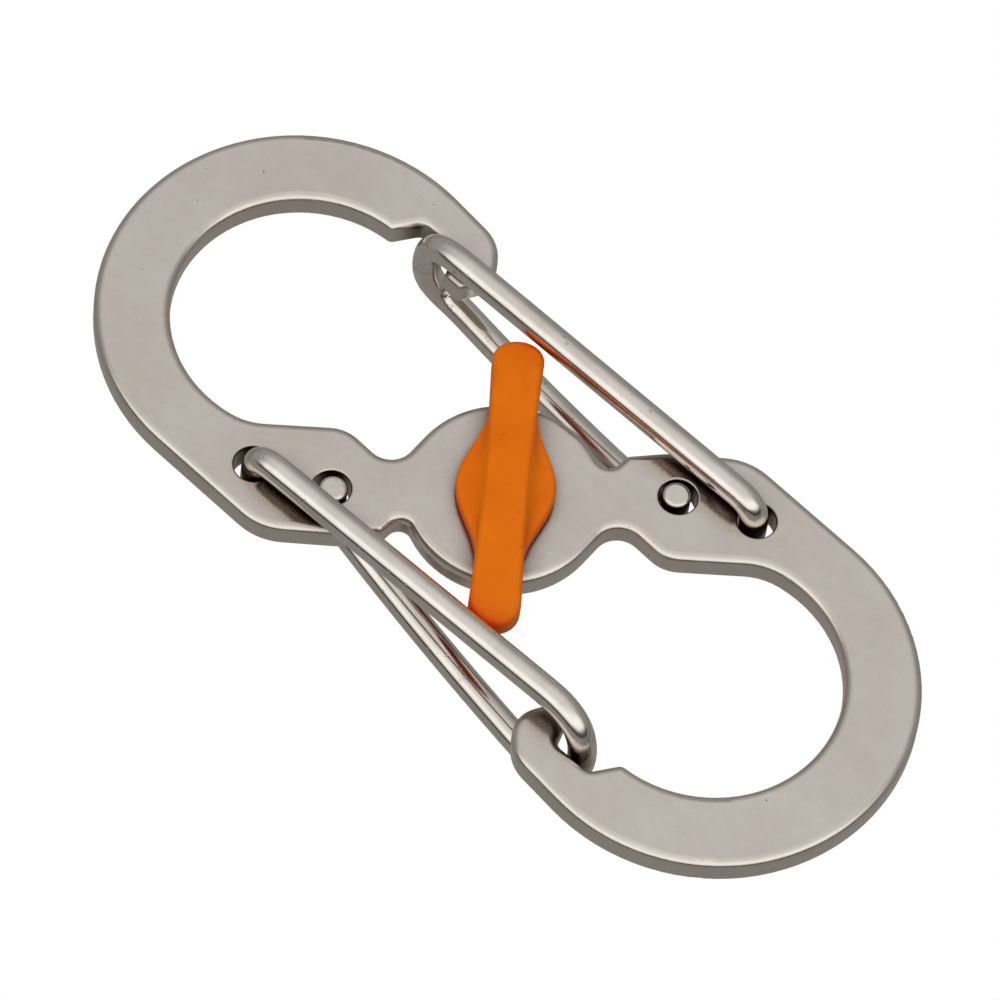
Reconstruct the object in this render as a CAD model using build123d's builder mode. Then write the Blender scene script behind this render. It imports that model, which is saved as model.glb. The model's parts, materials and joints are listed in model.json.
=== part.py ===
"""Double-ended carabiner keyring: a stamped steel frame with two eyes, two wire gates and a lock lever.

Millimetres. The origin is the lever's pivot in the frame's mid-plane. +X runs along the keyring's length,
and +Z leaves the front face, where the lever's handle is. The keyring looks the same after half a turn
about Z, so one hook and one gate are drawn, and the others are the same shapes turned about Z.
"""

import os
from math import cos, radians, sin, tan

from build123d import *

# Frame plate
PLATE_T = 1.5
PLATE_EDGE_R = 0.4
DISC_R = 4.48
OUTER_CENTRE, OUTER_R = (-12.55, 0.47), 9.2
INNER_CENTRE, INNER_R = (-12.36, 0.4), 5.92
NECK_R = 0.55
LIP_R = 0.35
NOTCH_ROOF_R = 0.5
BORE_R = 1.6
BORE_EDGE_R = 0.1

# Gate wire, and the two holes that it hinges in
WIRE_R = 0.64
HOLE_R = 0.86
HOLE_EDGE_R = 0.12
FRONT_HOLE = (8.83, 6.7)
BACK_HOLE = (5.57, 5.16)
FRONT_PIN = (8.69, 6.68)
BACK_PIN = (5.48, 5.17)
U_MIDDLE = (-10.78, 6.8, -0.53)
U_GAP = 0.01
FRONT_LIMB_START = (-8.4, 6.6, 2.03)
FRONT_LIMB_END = (7.45, 6.67, 1.79)
BACK_LIMB_START = (-8.4, 7.17, -3.08)
BACK_LIMB_END = (4.25, 5.37, -1.62)
BACK_LIMB_LEAN = 0.1
FRONT_PIN_END_Z = -0.6
BACK_PIN_END_Z = 0.87
PIN_ROUND = 0.2

# Lock lever, and the cap that holds it from behind
LEVER_ANGLE = radians(127.4)
LEVER_LENGTH, LEVER_W = 14.3, 2.3
LEVER_END_R = 1.1
LEVER_TOP_Z = 2.15
LEVER_EDGE_R = 0.28
HUB_LENGTH, HUB_W = 7.1, 4.4
HUB_RUN_OUT = 0.15
HUB_TOP_Z = 1.65
HUB_EDGE_R = 0.3
AXIAL_PLAY = 0.03
BORE_PLAY = 0.05
SPIGOT_R, SPIGOT_DEPTH = 1.0, 0.4
CAP_R, CAP_T, CAP_EDGE_R = 2.3, 0.7, 0.3

HALF_T = PLATE_T / 2
PIVOT_FACE_Z = HALF_T + AXIAL_PLAY
HALF_TURNS = {"a": 0, "b": 180}


def on_circle(centre, radius, angle):
    """The point of a circle at an angle from +X."""
    return centre[0] + radius * cos(angle), centre[1] + radius * sin(angle)


def nearest(vertices, point):
    """The vertex of a flat profile that lies closest to a point."""
    return vertices.sort_by_distance((*point, 0))[0]


# ---- Frame plate ---------------------------------------------------------------------------------
# One hook's outline, from the disc's centre round the strap, the eye and the nose, and back inside.
neck_x, heel_x, shoulder_x, knuckle_y = -2.55, -6.52, -8.8, -2.42
strap_foot = (neck_x, -5.2)
strap_knee = (-3.72, -6.57)
strap_tilt = radians(1.5)
outer_bottom = on_circle(OUTER_CENTRE, OUTER_R, radians(-90) - strap_tilt)
strap_heel = (heel_x, outer_bottom[1] - tan(strap_tilt) * (heel_x - outer_bottom[0]))
outer_end = (OUTER_CENTRE[0] - OUTER_R, OUTER_CENTRE[1])
nose_tilt = radians(6)
outer_top = on_circle(OUTER_CENTRE, OUTER_R, radians(90) - nose_tilt)
nose_shoulder = (shoulder_x, outer_top[1] - tan(nose_tilt) * (shoulder_x - outer_top[0]))
nose_tip = (-7.55, 7.75)
nose_inside = (-8.4, 6.2)
inner_top = (INNER_CENTRE[0], INNER_CENTRE[1] + INNER_R)
inner_end = (INNER_CENTRE[0] - INNER_R, INNER_CENTRE[1])
ramp_start = on_circle(INNER_CENTRE, INNER_R, radians(-71))
knuckle = (-7.2, knuckle_y)
disc_tilt = radians(3)
disc_side = on_circle((0, 0), DISC_R, radians(180) + disc_tilt)
foot_y = knuckle_y - 0.13
knuckle_foot = (disc_side[0] + tan(disc_tilt) * (disc_side[1] - foot_y), foot_y)

# The notch in the nose that the gate's U bend rests in, open towards the eye.
notch_roof = ((-11.75, 7.56), (-9.85, 7.56))
left_lip, right_lip = (-12.7, 6.15), (-9.3, 6.1)
notch = (left_lip, *notch_roof, right_lip, (-9.2, 5.5), (-12.7, 5.5))

with BuildSketch() as hook_profile:
    with BuildLine():
        Polyline((0, 0), (neck_x, -3.0), strap_foot, strap_knee, strap_heel, outer_bottom)
        ThreePointArc(outer_bottom, outer_end, outer_top)
        Polyline(outer_top, nose_shoulder, nose_tip, nose_inside, inner_top)
        ThreePointArc(inner_top, inner_end, ramp_start)
        Polyline(ramp_start, knuckle, knuckle_foot, disc_side, (0, 0))
    make_face()
    for corner, radius in (
        (strap_foot, 0.4),
        (strap_knee, 3.0),
        (strap_heel, 3.0),
        (nose_shoulder, 2.0),
        (nose_tip, 1.4),
        (nose_inside, 0.4),
        (ramp_start, 3.0),
        (knuckle, 1.8),
        (knuckle_foot, 1.1),
    ):
        fillet(nearest(hook_profile.vertices(), corner), radius)
    with BuildLine():
        Polyline(*notch, close=True)
    make_face(mode=Mode.SUBTRACT)
    for corner, radius in (
        (notch_roof[0], NOTCH_ROOF_R),
        (notch_roof[1], NOTCH_ROOF_R),
        (left_lip, LIP_R),
        (right_lip, LIP_R),
    ):
        fillet(nearest(hook_profile.vertices(), corner), radius)

with BuildSketch() as plate_profile:
    Circle(DISC_R)
    for turn in HALF_TURNS.values():
        add(hook_profile.sketch, rotation=turn)
    for side in (-1, 1):
        fillet(nearest(plate_profile.vertices(), (neck_x * side, -3.77 * side)), NECK_R)

with BuildPart() as frame_plate:
    add(plate_profile.sketch)
    extrude(amount=HALF_T, both=True)
    flat_faces = frame_plate.faces().filter_by(Axis.Z)
    fillet(flat_faces.edges(), PLATE_EDGE_R)
    sides = [(x * side, y * side) for x, y in (FRONT_HOLE, BACK_HOLE) for side in (-1, 1)]
    with Locations(*sides):
        Hole(HOLE_R)
    Hole(BORE_R)
    rims = frame_plate.edges().filter_by(GeomType.CIRCLE).filter_by(lambda edge: edge.is_closed)
    fillet(rims.filter_by(lambda edge: edge.radius < 1), HOLE_EDGE_R)
    fillet(rims.filter_by(lambda edge: edge.radius > 1), BORE_EDGE_R)
frame_plate.part.label = "frame_plate"


# ---- Gate wires ----------------------------------------------------------------------------------
# Each gate is one wire, bent in a U round the hook's nose. It is drawn as a front and a back limb that meet
# in the middle of the U, because the two limbs hinge in different holes and turn by different angles. The
# wire stands upright there, so that the limbs can turn against each other with no gap between them.
def sweep_wire(bend_start, first_end, last_start, pin, pin_end_z, lean):
    """Sweep the round wire from the middle of the U bend, along a limb, and down its pin.

    A lean of 1 gives a straight limb. Below 1, the limb starts flatter than its chord and follows an arc.
    """
    rise = 1 if first_end[2] > bend_start[2] else -1
    chord = (Vector(*last_start) - Vector(*first_end)).normalized()
    leaving = Vector(chord.X, chord.Y, chord.Z * lean)
    pin_start = (*pin, last_start[2] - rise * (pin[0] - last_start[0]))
    with BuildPart() as limb:
        with BuildLine() as centre_line:
            Spline(bend_start, first_end, tangents=((0, 0, rise), leaving))
            if lean < 1:
                run = TangentArc(first_end, last_start, tangent=leaving)
            else:
                run = Line(first_end, last_start)
            Spline(last_start, pin_start, tangents=(run % 1, (0, 0, -rise)))
            Line(centre_line.line @ 1, (*pin, pin_end_z))
        with BuildSketch(Plane(origin=bend_start, z_dir=(0, 0, rise))):
            Circle(WIRE_R)
        sweep()
        pin_rim = limb.edges().filter_by(GeomType.CIRCLE).sort_by_distance((*pin, pin_end_z))[0]
        fillet(pin_rim, PIN_ROUND)
    return limb


u_above = (U_MIDDLE[0], U_MIDDLE[1], U_MIDDLE[2] + U_GAP)
u_below = (U_MIDDLE[0], U_MIDDLE[1], U_MIDDLE[2] - U_GAP)
front_limb = sweep_wire(u_above, FRONT_LIMB_START, FRONT_LIMB_END, FRONT_PIN, FRONT_PIN_END_Z, 1)
back_limb = sweep_wire(u_below, BACK_LIMB_START, BACK_LIMB_END, BACK_PIN, BACK_PIN_END_Z, BACK_LIMB_LEAN)


# ---- Lock lever and its cap ----------------------------------------------------------------------
def lever_plane(z):
    """A plane at height z, with its X along the lever's handle in the locked position."""
    return Plane(origin=(0, 0, z), x_dir=(cos(LEVER_ANGLE), sin(LEVER_ANGLE), 0), z_dir=(0, 0, 1))


# The hub's sides are bell curves: an arc over the middle, and an arc at each end that runs out into the
# handle.
flank_x, flank_y = HUB_LENGTH / 4, (HUB_W + LEVER_W) / 4
hub_end = (HUB_LENGTH / 2, LEVER_W / 2 - HUB_RUN_OUT)

with BuildPart() as hub:
    with BuildSketch(lever_plane(PIVOT_FACE_Z)):
        for side in (-1, 1):
            flanks = [(-flank_x, side * flank_y), (flank_x, side * flank_y)]
            with BuildLine():
                crest = ThreePointArc(flanks[0], (0, side * HUB_W / 2), flanks[1])
                near = TangentArc(crest @ 1, (hub_end[0], side * hub_end[1]), tangent=crest % 1)
                far = TangentArc(crest @ 0, (-hub_end[0], side * hub_end[1]), tangent=-(crest % 0))
                Polyline(near @ 1, (hub_end[0], 0), (-hub_end[0], 0), far @ 1)
            make_face()
    extrude(amount=HUB_TOP_Z - PIVOT_FACE_Z)
    hub_rim = hub.faces().sort_by(Axis.Z)[-1].edges()
    fillet(hub_rim.filter_by(GeomType.LINE, reverse=True), HUB_EDGE_R)

with BuildPart() as lock_lever:
    with BuildSketch(lever_plane(PIVOT_FACE_Z)):
        RectangleRounded(LEVER_LENGTH, LEVER_W, LEVER_END_R)
    extrude(amount=LEVER_TOP_Z - PIVOT_FACE_Z)
    fillet(lock_lever.faces().sort_by(Axis.Z)[-1].edges(), LEVER_EDGE_R)
    add(hub.part)
    with BuildSketch(Plane.XY.offset(PIVOT_FACE_Z)):
        Circle(BORE_R - BORE_PLAY)
    extrude(amount=-2 * PIVOT_FACE_Z)
    with BuildSketch(Plane.XY.offset(-PIVOT_FACE_Z)):
        Circle(SPIGOT_R)
    extrude(amount=-SPIGOT_DEPTH)
lock_lever.part.label = "lock_lever"

with BuildPart() as back_cap:
    with BuildSketch(Plane.XY.offset(-PIVOT_FACE_Z)):
        Circle(CAP_R)
    extrude(amount=-CAP_T)
    fillet(back_cap.edges().sort_by(Axis.Z)[0], CAP_EDGE_R)
    with BuildSketch(Plane.XY.offset(-PIVOT_FACE_Z)):
        Circle(SPIGOT_R)
    extrude(amount=-SPIGOT_DEPTH, mode=Mode.SUBTRACT)
back_cap.part.label = "back_cap"

pieces = [frame_plate.part, lock_lever.part, back_cap.part]
for gate, turn in HALF_TURNS.items():
    for limb, wire in (("front", front_limb), ("back", back_limb)):
        turned = wire.part.rotate(Axis.Z, turn)
        turned.label = f"gate_{gate}_{limb}"
        pieces.append(turned)

os.makedirs("parts", exist_ok=True)
for piece in pieces:
    export_step(piece, f"parts/{piece.label}.step")
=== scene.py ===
"""Looks of the double-ended carabiner keyring: satin stamped steel, bright wires and an orange lever."""

import json
from math import cos, pi, radians, sin

import bmesh
import bpy
from mathutils import Matrix, Vector


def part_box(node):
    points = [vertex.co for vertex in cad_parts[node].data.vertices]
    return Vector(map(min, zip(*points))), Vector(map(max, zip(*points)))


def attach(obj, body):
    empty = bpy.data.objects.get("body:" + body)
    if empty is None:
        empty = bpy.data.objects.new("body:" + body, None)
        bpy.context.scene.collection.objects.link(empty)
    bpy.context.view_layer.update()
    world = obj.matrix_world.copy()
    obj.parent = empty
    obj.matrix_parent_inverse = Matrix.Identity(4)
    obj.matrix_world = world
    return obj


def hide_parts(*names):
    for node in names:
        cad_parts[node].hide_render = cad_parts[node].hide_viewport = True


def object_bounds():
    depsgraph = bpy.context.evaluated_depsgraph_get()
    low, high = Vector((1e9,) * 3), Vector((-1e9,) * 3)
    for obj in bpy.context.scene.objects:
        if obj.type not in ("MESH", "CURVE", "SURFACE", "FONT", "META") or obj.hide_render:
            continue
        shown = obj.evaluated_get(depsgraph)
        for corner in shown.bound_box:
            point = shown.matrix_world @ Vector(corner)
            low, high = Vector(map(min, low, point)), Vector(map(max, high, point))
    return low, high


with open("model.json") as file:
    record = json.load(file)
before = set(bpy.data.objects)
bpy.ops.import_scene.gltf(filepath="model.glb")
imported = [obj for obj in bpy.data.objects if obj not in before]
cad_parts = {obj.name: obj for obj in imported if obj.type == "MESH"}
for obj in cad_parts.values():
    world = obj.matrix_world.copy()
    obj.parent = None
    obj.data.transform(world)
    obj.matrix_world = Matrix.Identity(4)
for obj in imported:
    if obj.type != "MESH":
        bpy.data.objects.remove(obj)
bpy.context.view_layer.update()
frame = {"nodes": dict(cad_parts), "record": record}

MM = 0.001

# Lever, in millimetres, along its handle (u), across it (v) and up (z)
HANDLE_ANGLE = radians(127.4)
HANDLE_LENGTH, HANDLE_W, HANDLE_END_R = 14.3, 2.3, 1.1
HANDLE_WAIST = 0.12
HUB_HALF_LENGTH, HUB_HALF_W = 3.55, 2.2
HUB_RIM_Z, HUB_CREASE_Z = 1.5, 1.95
HUB_RIM_R, HUB_RUN_OUT = 0.25, 0.25
HUB_END_TUCK, HUB_CREASE_TUCK = 0.1, 0.12  # how far the hub runs in under the handle's sides
HUB_RISE_POWER = 2.2
TIP_SLOPE_LENGTH, TIP_SLOPE_DROP = 1.9, 0.42
TOP_EDGE_R = 0.3
JOURNAL_R, SPIGOT_R, SEAT_PLAY = 1.55, 1.0, 0.03
JOURNAL_OVERLAP = 0.3
REMESH_VOXEL, SOFTENING = 0.045, 7
FLOOR_REACH = 2.0  # metres

# Camera, in millimetres and degrees
CAMERA_AZIMUTH, CAMERA_ELEVATION, CAMERA_ROLL = 34.925, 60.798, 8.42
CAMERA_DISTANCE, CAMERA_LENS = 406.55, 334.2
CAMERA_TARGET = (-0.129, -0.115, 0.0)


# ---- Node helpers --------------------------------------------------------------------------------
def new_material(name):
    """An empty node material with its Principled shader and its object coordinates in millimetres."""
    material = bpy.data.materials.new(name)
    material.use_nodes = True
    tree = material.node_tree
    shader = tree.nodes["Principled BSDF"]
    coordinates = tree.nodes.new("ShaderNodeTexCoord")
    in_mm = tree.nodes.new("ShaderNodeVectorMath")
    in_mm.operation = "SCALE"
    in_mm.inputs["Scale"].default_value = 1 / MM
    tree.links.new(coordinates.outputs["Object"], in_mm.inputs[0])
    return material, tree, shader, in_mm.outputs[0]


def noise(tree, where, per_mm, detail=3.0, roughness=0.55, stretch=None):
    """Fractal noise with a number of features to the millimetre, stretched along an axis if asked."""
    node = tree.nodes.new("ShaderNodeTexNoise")
    node.inputs["Scale"].default_value = per_mm
    node.inputs["Detail"].default_value = detail
    node.inputs["Roughness"].default_value = roughness
    if stretch:
        mapping = tree.nodes.new("ShaderNodeMapping")
        mapping.inputs["Rotation"].default_value = stretch[0]
        mapping.inputs["Scale"].default_value = stretch[1]
        tree.links.new(where, mapping.inputs["Vector"])
        where = mapping.outputs["Vector"]
    tree.links.new(where, node.inputs["Vector"])
    return node.outputs["Fac"]


def ramp(tree, value, *stops):
    """A colour ramp from (position, grey or colour) stops."""
    node = tree.nodes.new("ShaderNodeValToRGB")
    elements = node.color_ramp.elements
    while len(elements) < len(stops):
        elements.new(0.5)
    for element, (position, colour) in zip(elements, stops):
        element.position = position
        element.color = (*colour, 1) if isinstance(colour, tuple) else (colour, colour, colour, 1)
    tree.links.new(value, node.inputs["Fac"])
    return node.outputs["Color"]


def maths(tree, operation, *values):
    """A maths node between sockets or numbers."""
    node = tree.nodes.new("ShaderNodeMath")
    node.operation = operation
    for socket, value in zip(node.inputs, values):
        if isinstance(value, (int, float)):
            socket.default_value = value
        else:
            tree.links.new(value, socket)
    return node.outputs[0]


def mix(tree, blend, factor, first, second):
    """A colour mix between sockets or colours."""
    node = tree.nodes.new("ShaderNodeMix")
    node.data_type = "RGBA"
    node.blend_type = blend
    for name, value in (("Factor", factor), ("A", first), ("B", second)):
        socket = node.inputs[name]
        if isinstance(value, bpy.types.NodeSocket):
            tree.links.new(value, socket)
        elif isinstance(value, tuple):
            socket.default_value = (*value, 1)
        else:
            socket.default_value = value
    return node.outputs["Result"]


def choose_shader(tree, factor, off, on):
    """One of two shaders, by a factor of 0 or 1."""
    node = tree.nodes.new("ShaderNodeMixShader")
    tree.links.new(factor, node.inputs["Fac"])
    tree.links.new(off.outputs[0], node.inputs[1])
    tree.links.new(on.outputs[0], node.inputs[2])
    return node


def bump(tree, height, strength, distance_mm, under=None):
    """A bump from a height, laid over another bump's normal if given."""
    node = tree.nodes.new("ShaderNodeBump")
    node.inputs["Strength"].default_value = strength
    node.inputs["Distance"].default_value = distance_mm * MM
    tree.links.new(height, node.inputs["Height"])
    if under:
        tree.links.new(under, node.inputs["Normal"])
    return node.outputs["Normal"]


def painted_shade_mask(tree, reach_mm, closed, open_sky):
    """A painted-shade mask: 1 in crevices and beside other pieces, falling to 0 in the open, between two
    shares of open sky.
    """
    node = tree.nodes.new("ShaderNodeAmbientOcclusion")
    node.samples = 6
    node.inputs["Distance"].default_value = reach_mm * MM
    return ramp(tree, node.outputs["AO"], (closed, 1.0), (open_sky, 0.0))


# ---- Materials -----------------------------------------------------------------------------------
def stamped_steel():
    """Tumbled satin stainless steel: fine grain, cloudy sheen, hairline scratches and a few dark pits, with
    painted shade and painted reflection darkening it in crevices and beside other pieces.
    """
    material, tree, shader, where = new_material("stamped_steel")
    clouds = noise(tree, where, 0.16, 4, 0.6)
    mottle = noise(tree, where, 1.3, 4, 0.6)
    grain = noise(tree, where, 14, 3, 0.7)
    brushed = noise(tree, where, 5, 3, 0.6, stretch=((0, 0, radians(35)), (0.16, 1.6, 1)))
    scratch_field = noise(tree, where, 1.4, 2, 0.5, stretch=((0, 0, radians(-22)), (0.12, 3.2, 1)))
    scratches = ramp(tree, scratch_field, (0.0, 0.0), (0.67, 0.0), (0.69, 1.0), (0.71, 0.0))
    pits = ramp(tree, noise(tree, where, 2.6, 1, 0.5), (0.0, 0.0), (0.79, 0.0), (0.81, 1.0))

    tint = ramp(tree, clouds, (0.3, (0.665, 0.60, 0.535)), (0.7, (0.735, 0.675, 0.615)))
    tint = mix(tree, "MULTIPLY", 1.0, tint, ramp(tree, mottle, (0.3, 0.955), (0.7, 1.0)))
    tint = mix(tree, "MULTIPLY", 1.0, tint, ramp(tree, grain, (0.25, 0.93), (0.75, 1.0)))
    tint = mix(tree, "MIX", pits, tint, (0.20, 0.15, 0.12))
    # Painted shade and painted reflection: in crevices, hole walls and beside the wires and lever the
    # colour is darkened towards a deep brown.
    tint = mix(tree, "MIX", painted_shade_mask(tree, 1.6, 0.30, 0.86), tint, (0.075, 0.030, 0.014))
    tree.links.new(tint, shader.inputs["Base Color"])
    shader.inputs["Metallic"].default_value = 1.0

    sheen = maths(tree, "MULTIPLY_ADD", mottle, 0.10, 0.07)
    rough = maths(tree, "ADD", sheen, maths(tree, "MULTIPLY", clouds, 0.08))
    rough = maths(tree, "ADD", rough, maths(tree, "MULTIPLY", brushed, 0.06))
    tree.links.new(rough, shader.inputs["Roughness"])

    relief = bump(tree, clouds, 0.14, 0.20)
    relief = bump(tree, mottle, 0.12, 0.05, relief)
    relief = bump(tree, brushed, 0.08, 0.015, relief)
    relief = bump(tree, grain, 0.16, 0.006, relief)
    relief = bump(tree, maths(tree, "MULTIPLY", scratches, -1.0), 0.20, 0.006, relief)
    relief = bump(tree, maths(tree, "MULTIPLY", pits, -1.0), 0.5, 0.02, relief)
    tree.links.new(relief, shader.inputs["Normal"])
    return material


def wire_steel():
    """Bright drawn spring wire, with fine draw lines along X, faint tarnish and small nicks, and painted
    shade where it meets other pieces.
    """
    material, tree, shader, where = new_material("wire_steel")
    draw_lines = noise(tree, where, 6, 2, 0.6, stretch=((0, 0, 0), (0.05, 1.5, 1.5)))
    tarnish = noise(tree, where, 0.7, 4, 0.6)
    nicks = ramp(tree, noise(tree, where, 3.4, 1, 0.5), (0.0, 0.0), (0.72, 0.0), (0.75, 1.0))

    tint = ramp(tree, tarnish, (0.3, (0.68, 0.625, 0.565)), (0.7, (0.80, 0.75, 0.69)))
    tint = mix(tree, "MULTIPLY", 1.0, tint, ramp(tree, draw_lines, (0.3, 0.93), (0.7, 1.0)))
    tint = mix(tree, "MIX", maths(tree, "MULTIPLY", nicks, 0.5), tint, (0.30, 0.26, 0.23))
    # Painted shade: in bends, holes and beside other pieces the colour is darkened towards a deep brown.
    tint = mix(tree, "MIX", painted_shade_mask(tree, 0.9, 0.25, 0.80), tint, (0.085, 0.040, 0.022))
    tree.links.new(tint, shader.inputs["Base Color"])
    shader.inputs["Metallic"].default_value = 1.0
    rough = maths(tree, "MULTIPLY_ADD", tarnish, 0.14, 0.09)
    tree.links.new(rough, shader.inputs["Roughness"])

    relief = bump(tree, draw_lines, 0.05, 0.006)
    relief = bump(tree, maths(tree, "MULTIPLY", nicks, -1.0), 0.4, 0.010, relief)
    tree.links.new(relief, shader.inputs["Normal"])
    return material


def lever_plastic():
    """Smooth moulded orange plastic, a little cloudy, with a soft sheen and a few dust-like specks, and
    painted shade turning it a deeper red in creases and beside the handle.
    """
    material, tree, shader, where = new_material("lever_plastic")
    clouds = noise(tree, where, 0.45, 3, 0.5)
    skin = noise(tree, where, 9, 3, 0.6)
    scuffs = noise(tree, where, 1.8, 3, 0.6, stretch=((0, 0, -HANDLE_ANGLE), (0.4, 2.4, 1)))
    specks = ramp(tree, noise(tree, where, 2.6, 1, 0.5), (0.0, 0.0), (0.77, 0.0), (0.79, 1.0))

    tint = ramp(tree, clouds, (0.3, (0.56, 0.115, 0.0)), (0.7, (0.62, 0.140, 0.001)))
    tint = mix(tree, "MULTIPLY", 1.0, tint, ramp(tree, skin, (0.3, 0.97), (0.7, 1.0)))
    tint = mix(tree, "MIX", maths(tree, "MULTIPLY", specks, 0.4), tint, (0.30, 0.05, 0.004))
    # Painted shade: in creases and on the hub's flanks beside the handle the colour turns a darker, deeper
    # red.
    painted_red_shade = maths(tree, "MULTIPLY", painted_shade_mask(tree, 1.5, 0.5, 1.0), 0.95)
    tint = mix(tree, "MIX", painted_red_shade, tint, (0.56, 0.042, 0.0))
    tree.links.new(tint, shader.inputs["Base Color"])
    shader.inputs["Subsurface Weight"].default_value = 0.25
    shader.inputs["Subsurface Radius"].default_value = (1.0, 0.35, 0.08)
    shader.inputs["Subsurface Scale"].default_value = 0.6 * MM
    shader.inputs["IOR"].default_value = 1.47
    shader.inputs["Specular IOR Level"].default_value = 0.12
    rough = maths(tree, "MULTIPLY_ADD", scuffs, 0.14, 0.33)
    tree.links.new(rough, shader.inputs["Roughness"])

    relief = bump(tree, clouds, 0.08, 0.10)
    relief = bump(tree, skin, 0.12, 0.008, relief)
    tree.links.new(relief, shader.inputs["Normal"])
    return material


# ---- Lever ---------------------------------------------------------------------------------------
def bridge_rings(rings):
    """A closed mesh from rings of points, each with as many points as the next, with both ends capped."""
    made = bmesh.new()
    grid = [[made.verts.new(point) for point in ring] for ring in rings]
    for lower, upper in zip(grid, grid[1:]):
        for i in range(len(lower)):
            j = (i + 1) % len(lower)
            made.faces.new((lower[i], lower[j], upper[j], upper[i]))
    made.faces.new(list(reversed(grid[0])))
    made.faces.new(grid[-1])
    return made


def edge_profile(top, radius, steps=6):
    """(inset, height) pairs that round an upper edge off."""
    turns = [pi / 2 * i / steps for i in range(steps + 1)]
    return [(radius * (1 - cos(t)), top - radius * (1 - sin(t))) for t in turns]


def handle_outline(inset, steps=10):
    """The handle's plan, a bar with rounded ends, moved in by an inset."""
    centre_u, centre_v = HANDLE_LENGTH / 2 - HANDLE_END_R, HANDLE_W / 2 - HANDLE_END_R
    reach = HANDLE_END_R - inset
    outline = []
    for end in (1, -1):
        for i in range(2 * steps + 1):
            turn = pi / 2 * (i / steps - 1)
            side = 1 if i > steps else -1
            out, across = reach * cos(turn), reach * sin(turn)
            outline.append((end * (centre_u + out), end * (side * centre_v + across)))
        for i in range(1, 4 * steps):
            along = end * centre_u * (1 - i / (2 * steps))
            outline.append((along, end * (centre_v + reach)))
    return outline


def waist(u):
    """The share of its half-width that the handle is drawn in by, at a distance from its middle."""
    return HANDLE_WAIST * max(0.0, 1 - (u / (HANDLE_LENGTH / 2 - HANDLE_END_R)) ** 2)


def tip_drop(u):
    """How far the handle's top has sunk at a distance from its middle: a ramp with a soft start."""
    past = max(0.0, abs(u) - (HANDLE_LENGTH / 2 - TIP_SLOPE_LENGTH)) / TIP_SLOPE_LENGTH
    return TIP_SLOPE_DROP * past ** 1.5


def handle_mesh(low, top):
    """The handle's bar, with a rounded upper edge and tips that slope down."""
    shape = [(0.0, low), (0.0, low + 0.4)] + edge_profile(top, TOP_EDGE_R) + [(0.6, top), (0.85, top)]
    height = top - low
    rings = []
    for inset, z in shape:
        share = (z - low) / height
        rings.append([(u, v * (1 - waist(u)), z - tip_drop(u) * share) for u, v in handle_outline(inset)])
    return bridge_rings(rings)


def hub_half_width(u):
    """The hub's bell curve."""
    handle_half = HANDLE_W / 2 - HUB_END_TUCK
    share = 0.5 + 0.5 * cos(pi * min(1.0, abs(u) / (HUB_HALF_LENGTH + HUB_RUN_OUT)))
    return handle_half + (HUB_HALF_W - handle_half) * share


def hub_mesh(low, stations=48, steps=8):
    """The hub: upright sides with a rounded rim, and a top that rises in a hollow curve to the handle."""
    rings = []
    for i in range(stations + 1):
        u = (HUB_HALF_LENGTH + HUB_RUN_OUT) * (2 * i / stations - 1)
        half, crease = hub_half_width(u), HANDLE_W / 2 - HUB_CREASE_TUCK
        rim_r = min(HUB_RIM_R, (half - crease) * 0.45)
        side = [(half, low)] + [(half - inset, z) for inset, z in edge_profile(HUB_RIM_Z, max(rim_r, 0.01))]
        start = half - rim_r
        for k in range(1, steps + 1):
            share = k / steps
            rise = (HUB_CREASE_Z - HUB_RIM_Z) * share ** HUB_RISE_POWER
            side.append((start + (crease - start) * share, HUB_RIM_Z + rise))
        ring = side + [(-v, z) for v, z in reversed(side)]
        rings.append([(u, v, z) for v, z in ring])
    return bridge_rings(rings)


def journal_mesh(top, bottom, shoulder, steps=40):
    """The round journal in the plate's bore, and the spigot under it."""
    circle = [(cos(2 * pi * i / steps), sin(2 * pi * i / steps)) for i in range(steps)]
    rings = []
    for radius, z in ((JOURNAL_R, top), (JOURNAL_R, shoulder), (SPIGOT_R, shoulder), (SPIGOT_R, bottom)):
        rings.append([(radius * x, radius * y, z) for x, y in circle])
    return bridge_rings(rings)


def build_lever(material):
    """The lever as one moulded piece, melted together from its handle, hub and journal."""
    low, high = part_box("lock_lever")
    plate_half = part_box("frame_plate")[1].z / MM
    seat = plate_half + SEAT_PLAY
    journal = journal_mesh(seat + JOURNAL_OVERLAP, low.z / MM, -seat)
    parts = [handle_mesh(seat, high.z / MM), hub_mesh(seat), journal]
    whole = bmesh.new()
    for part in parts:
        bmesh.ops.recalc_face_normals(part, faces=part.faces)
        bmesh.ops.triangulate(part, faces=part.faces)
        piece = bpy.data.meshes.new("lever_stock")
        part.to_mesh(piece)
        part.free()
        whole.from_mesh(piece)
        bpy.data.meshes.remove(piece)
    mesh = bpy.data.meshes.new("lever_handle")
    whole.to_mesh(mesh)
    whole.free()
    lever = bpy.data.objects.new("lever_handle", mesh)
    bpy.context.scene.collection.objects.link(lever)

    melt = lever.modifiers.new("melt", "REMESH")
    melt.mode = "VOXEL"
    melt.voxel_size = REMESH_VOXEL
    soften = lever.modifiers.new("soften", "SMOOTH")
    soften.factor = 0.5
    soften.iterations = SOFTENING
    graph = bpy.context.evaluated_depsgraph_get()
    melted = bpy.data.meshes.new_from_object(lever.evaluated_get(graph))
    lever.modifiers.clear()
    lever.data = melted
    melted.name = "lever_handle"
    melted.transform(Matrix.Rotation(HANDLE_ANGLE, 4, "Z") @ Matrix.Scale(MM, 4))
    melted.polygons.foreach_set("use_smooth", [True] * len(melted.polygons))
    melted.materials.clear()
    melted.materials.append(material)
    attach(lever, "lever")
    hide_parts("lock_lever")


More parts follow.
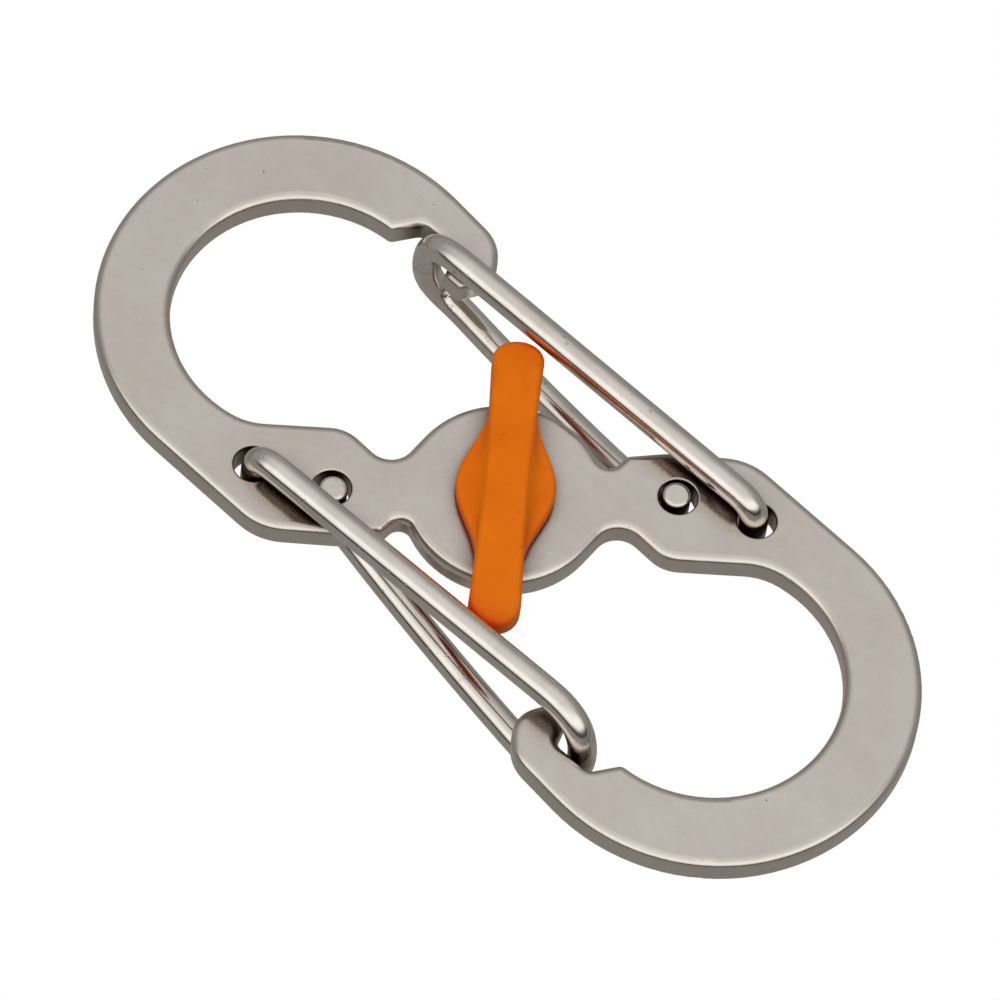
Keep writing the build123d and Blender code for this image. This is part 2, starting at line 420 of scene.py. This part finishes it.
# ---- Studio --------------------------------------------------------------------------------------
def build_world():
    """White to the camera, and to reflections a soft studio: bright above, dim at the horizon."""
    bpy.context.scene.view_settings.view_transform = "Standard"
    world = bpy.data.worlds.new("studio")
    bpy.context.scene.world = world
    world.use_nodes = True
    tree = world.node_tree
    backdrop = tree.nodes["Background"]
    output = tree.nodes["World Output"]
    studio = tree.nodes.new("ShaderNodeBackground")
    coordinates = tree.nodes.new("ShaderNodeTexCoord")
    split = tree.nodes.new("ShaderNodeSeparateXYZ")
    tree.links.new(coordinates.outputs["Generated"], split.inputs[0])
    height = maths(tree, "MULTIPLY_ADD", split.outputs["Z"], 0.5, 0.5)
    far_stops = ((0.0, 0.42), (0.45, 0.40), (0.55, 0.34), (0.72, 0.36), (0.88, 0.62), (1.0, 0.88))
    near_stops = (
        (0.0, 0.46), (0.47, 0.32), (0.52, 0.02), (0.60, 0.05), (0.70, 1.2), (0.84, 1.35), (1.0, 0.88),
    )
    far_side, near_side = ramp(tree, height, *far_stops), ramp(tree, height, *near_stops)
    toward = tree.nodes.new("ShaderNodeVectorMath")
    toward.operation = "DOT_PRODUCT"
    around = radians(CAMERA_AZIMUTH)
    toward.inputs[1].default_value = (sin(around), -cos(around), 0)
    tree.links.new(coordinates.outputs["Generated"], toward.inputs[0])
    nearness = ramp(tree, maths(tree, "ADD", toward.outputs["Value"], 0.5), (0.35, 0.0), (0.8, 1.0))
    sky = mix(tree, "MIX", nearness, far_side, near_side)
    tree.links.new(sky, studio.inputs["Color"])
    backdrop.inputs["Color"].default_value = (1, 1, 1, 1)
    backdrop.inputs["Strength"].default_value = 1.0
    path = tree.nodes.new("ShaderNodeLightPath")
    seen = choose_shader(tree, path.outputs["Is Camera Ray"], studio, backdrop)
    tree.links.new(seen.outputs[0], output.inputs["Surface"])


def build_floor():
    """A plain pale floor, white to the camera, greyer in reflections and clear from underneath."""
    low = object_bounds()[0].z
    mesh = bpy.data.meshes.new("floor")
    signs = ((-1, -1), (1, -1), (1, 1), (-1, 1))
    corners = [(sx * FLOOR_REACH, sy * FLOOR_REACH, low) for sx, sy in signs]
    mesh.from_pydata(corners, [], [(0, 1, 2, 3)])
    floor = bpy.data.objects.new("floor", mesh)
    bpy.context.scene.collection.objects.link(floor)
    material = bpy.data.materials.new("floor")
    material.use_nodes = True
    tree = material.node_tree
    tree.nodes.remove(tree.nodes["Principled BSDF"])
    white = tree.nodes.new("ShaderNodeEmission")
    white.inputs["Strength"].default_value = 1.0
    dim = tree.nodes.new("ShaderNodeEmission")
    dim.inputs["Color"].default_value = (0.30, 0.29, 0.28, 1)
    path = tree.nodes.new("ShaderNodeLightPath")
    top_side = choose_shader(tree, path.outputs["Is Camera Ray"], dim, white)
    clear = tree.nodes.new("ShaderNodeBsdfTransparent")
    geometry = tree.nodes.new("ShaderNodeNewGeometry")
    surface = choose_shader(tree, geometry.outputs["Backfacing"], top_side, clear)
    tree.links.new(surface.outputs[0], tree.nodes["Material Output"].inputs["Surface"])
    mesh.materials.append(material)


def area_light(name, azimuth, elevation, distance, size, power):
    """A square soft light that looks at the origin, placed by angles in degrees and a distance in metres.

    It isn't seen in reflections, where the world's soft studio takes its place.
    """
    light = bpy.data.lights.new(name, "AREA")
    light.size = size
    light.energy = power
    lamp = bpy.data.objects.new(name, light)
    around, up = radians(azimuth), radians(elevation)
    lamp.location = distance * Vector((sin(around) * cos(up), -cos(around) * cos(up), sin(up)))
    lamp.rotation_euler = lamp.location.to_track_quat("Z", "Y").to_euler()
    lamp.visible_glossy = False
    bpy.context.scene.collection.objects.link(lamp)


def build_camera():
    """The camera at the viewing angle of the product picture."""
    azimuth, elevation, roll = (radians(a) for a in (CAMERA_AZIMUTH, CAMERA_ELEVATION, CAMERA_ROLL))
    back = Vector((sin(azimuth) * cos(elevation), -cos(azimuth) * cos(elevation), sin(elevation)))
    level = Vector((cos(azimuth), sin(azimuth), 0))
    upright = back.cross(level)
    across = cos(roll) * level + sin(roll) * upright
    above = cos(roll) * upright - sin(roll) * level
    camera = bpy.data.objects.new("camera", bpy.data.cameras.new("camera"))
    camera.data.lens = CAMERA_LENS
    camera.data.sensor_width = 36
    camera.data.clip_start, camera.data.clip_end = 0.01, 10
    camera.matrix_world = Matrix((across, above, back)).transposed().to_4x4()
    camera.location = (Vector(CAMERA_TARGET) + CAMERA_DISTANCE * back) * MM
    bpy.context.scene.collection.objects.link(camera)
    bpy.context.scene.camera = camera


# ---- The scene -----------------------------------------------------------------------------------
materials = {"stamped_steel": stamped_steel(), "wire_steel": wire_steel(), "lever_plastic": lever_plastic()}
for subpart in frame["record"]["subparts"]:
    node = frame["nodes"][subpart["node"]]
    node.data.materials.clear()
    node.data.materials.append(materials[subpart["material_slot"]])

build_lever(materials["lever_plastic"])
build_world()
build_floor()
area_light("key", -40, 58, 0.5, 0.30, 0.95)
area_light("fill", 150, 55, 0.5, 0.35, 0.45)
build_camera()
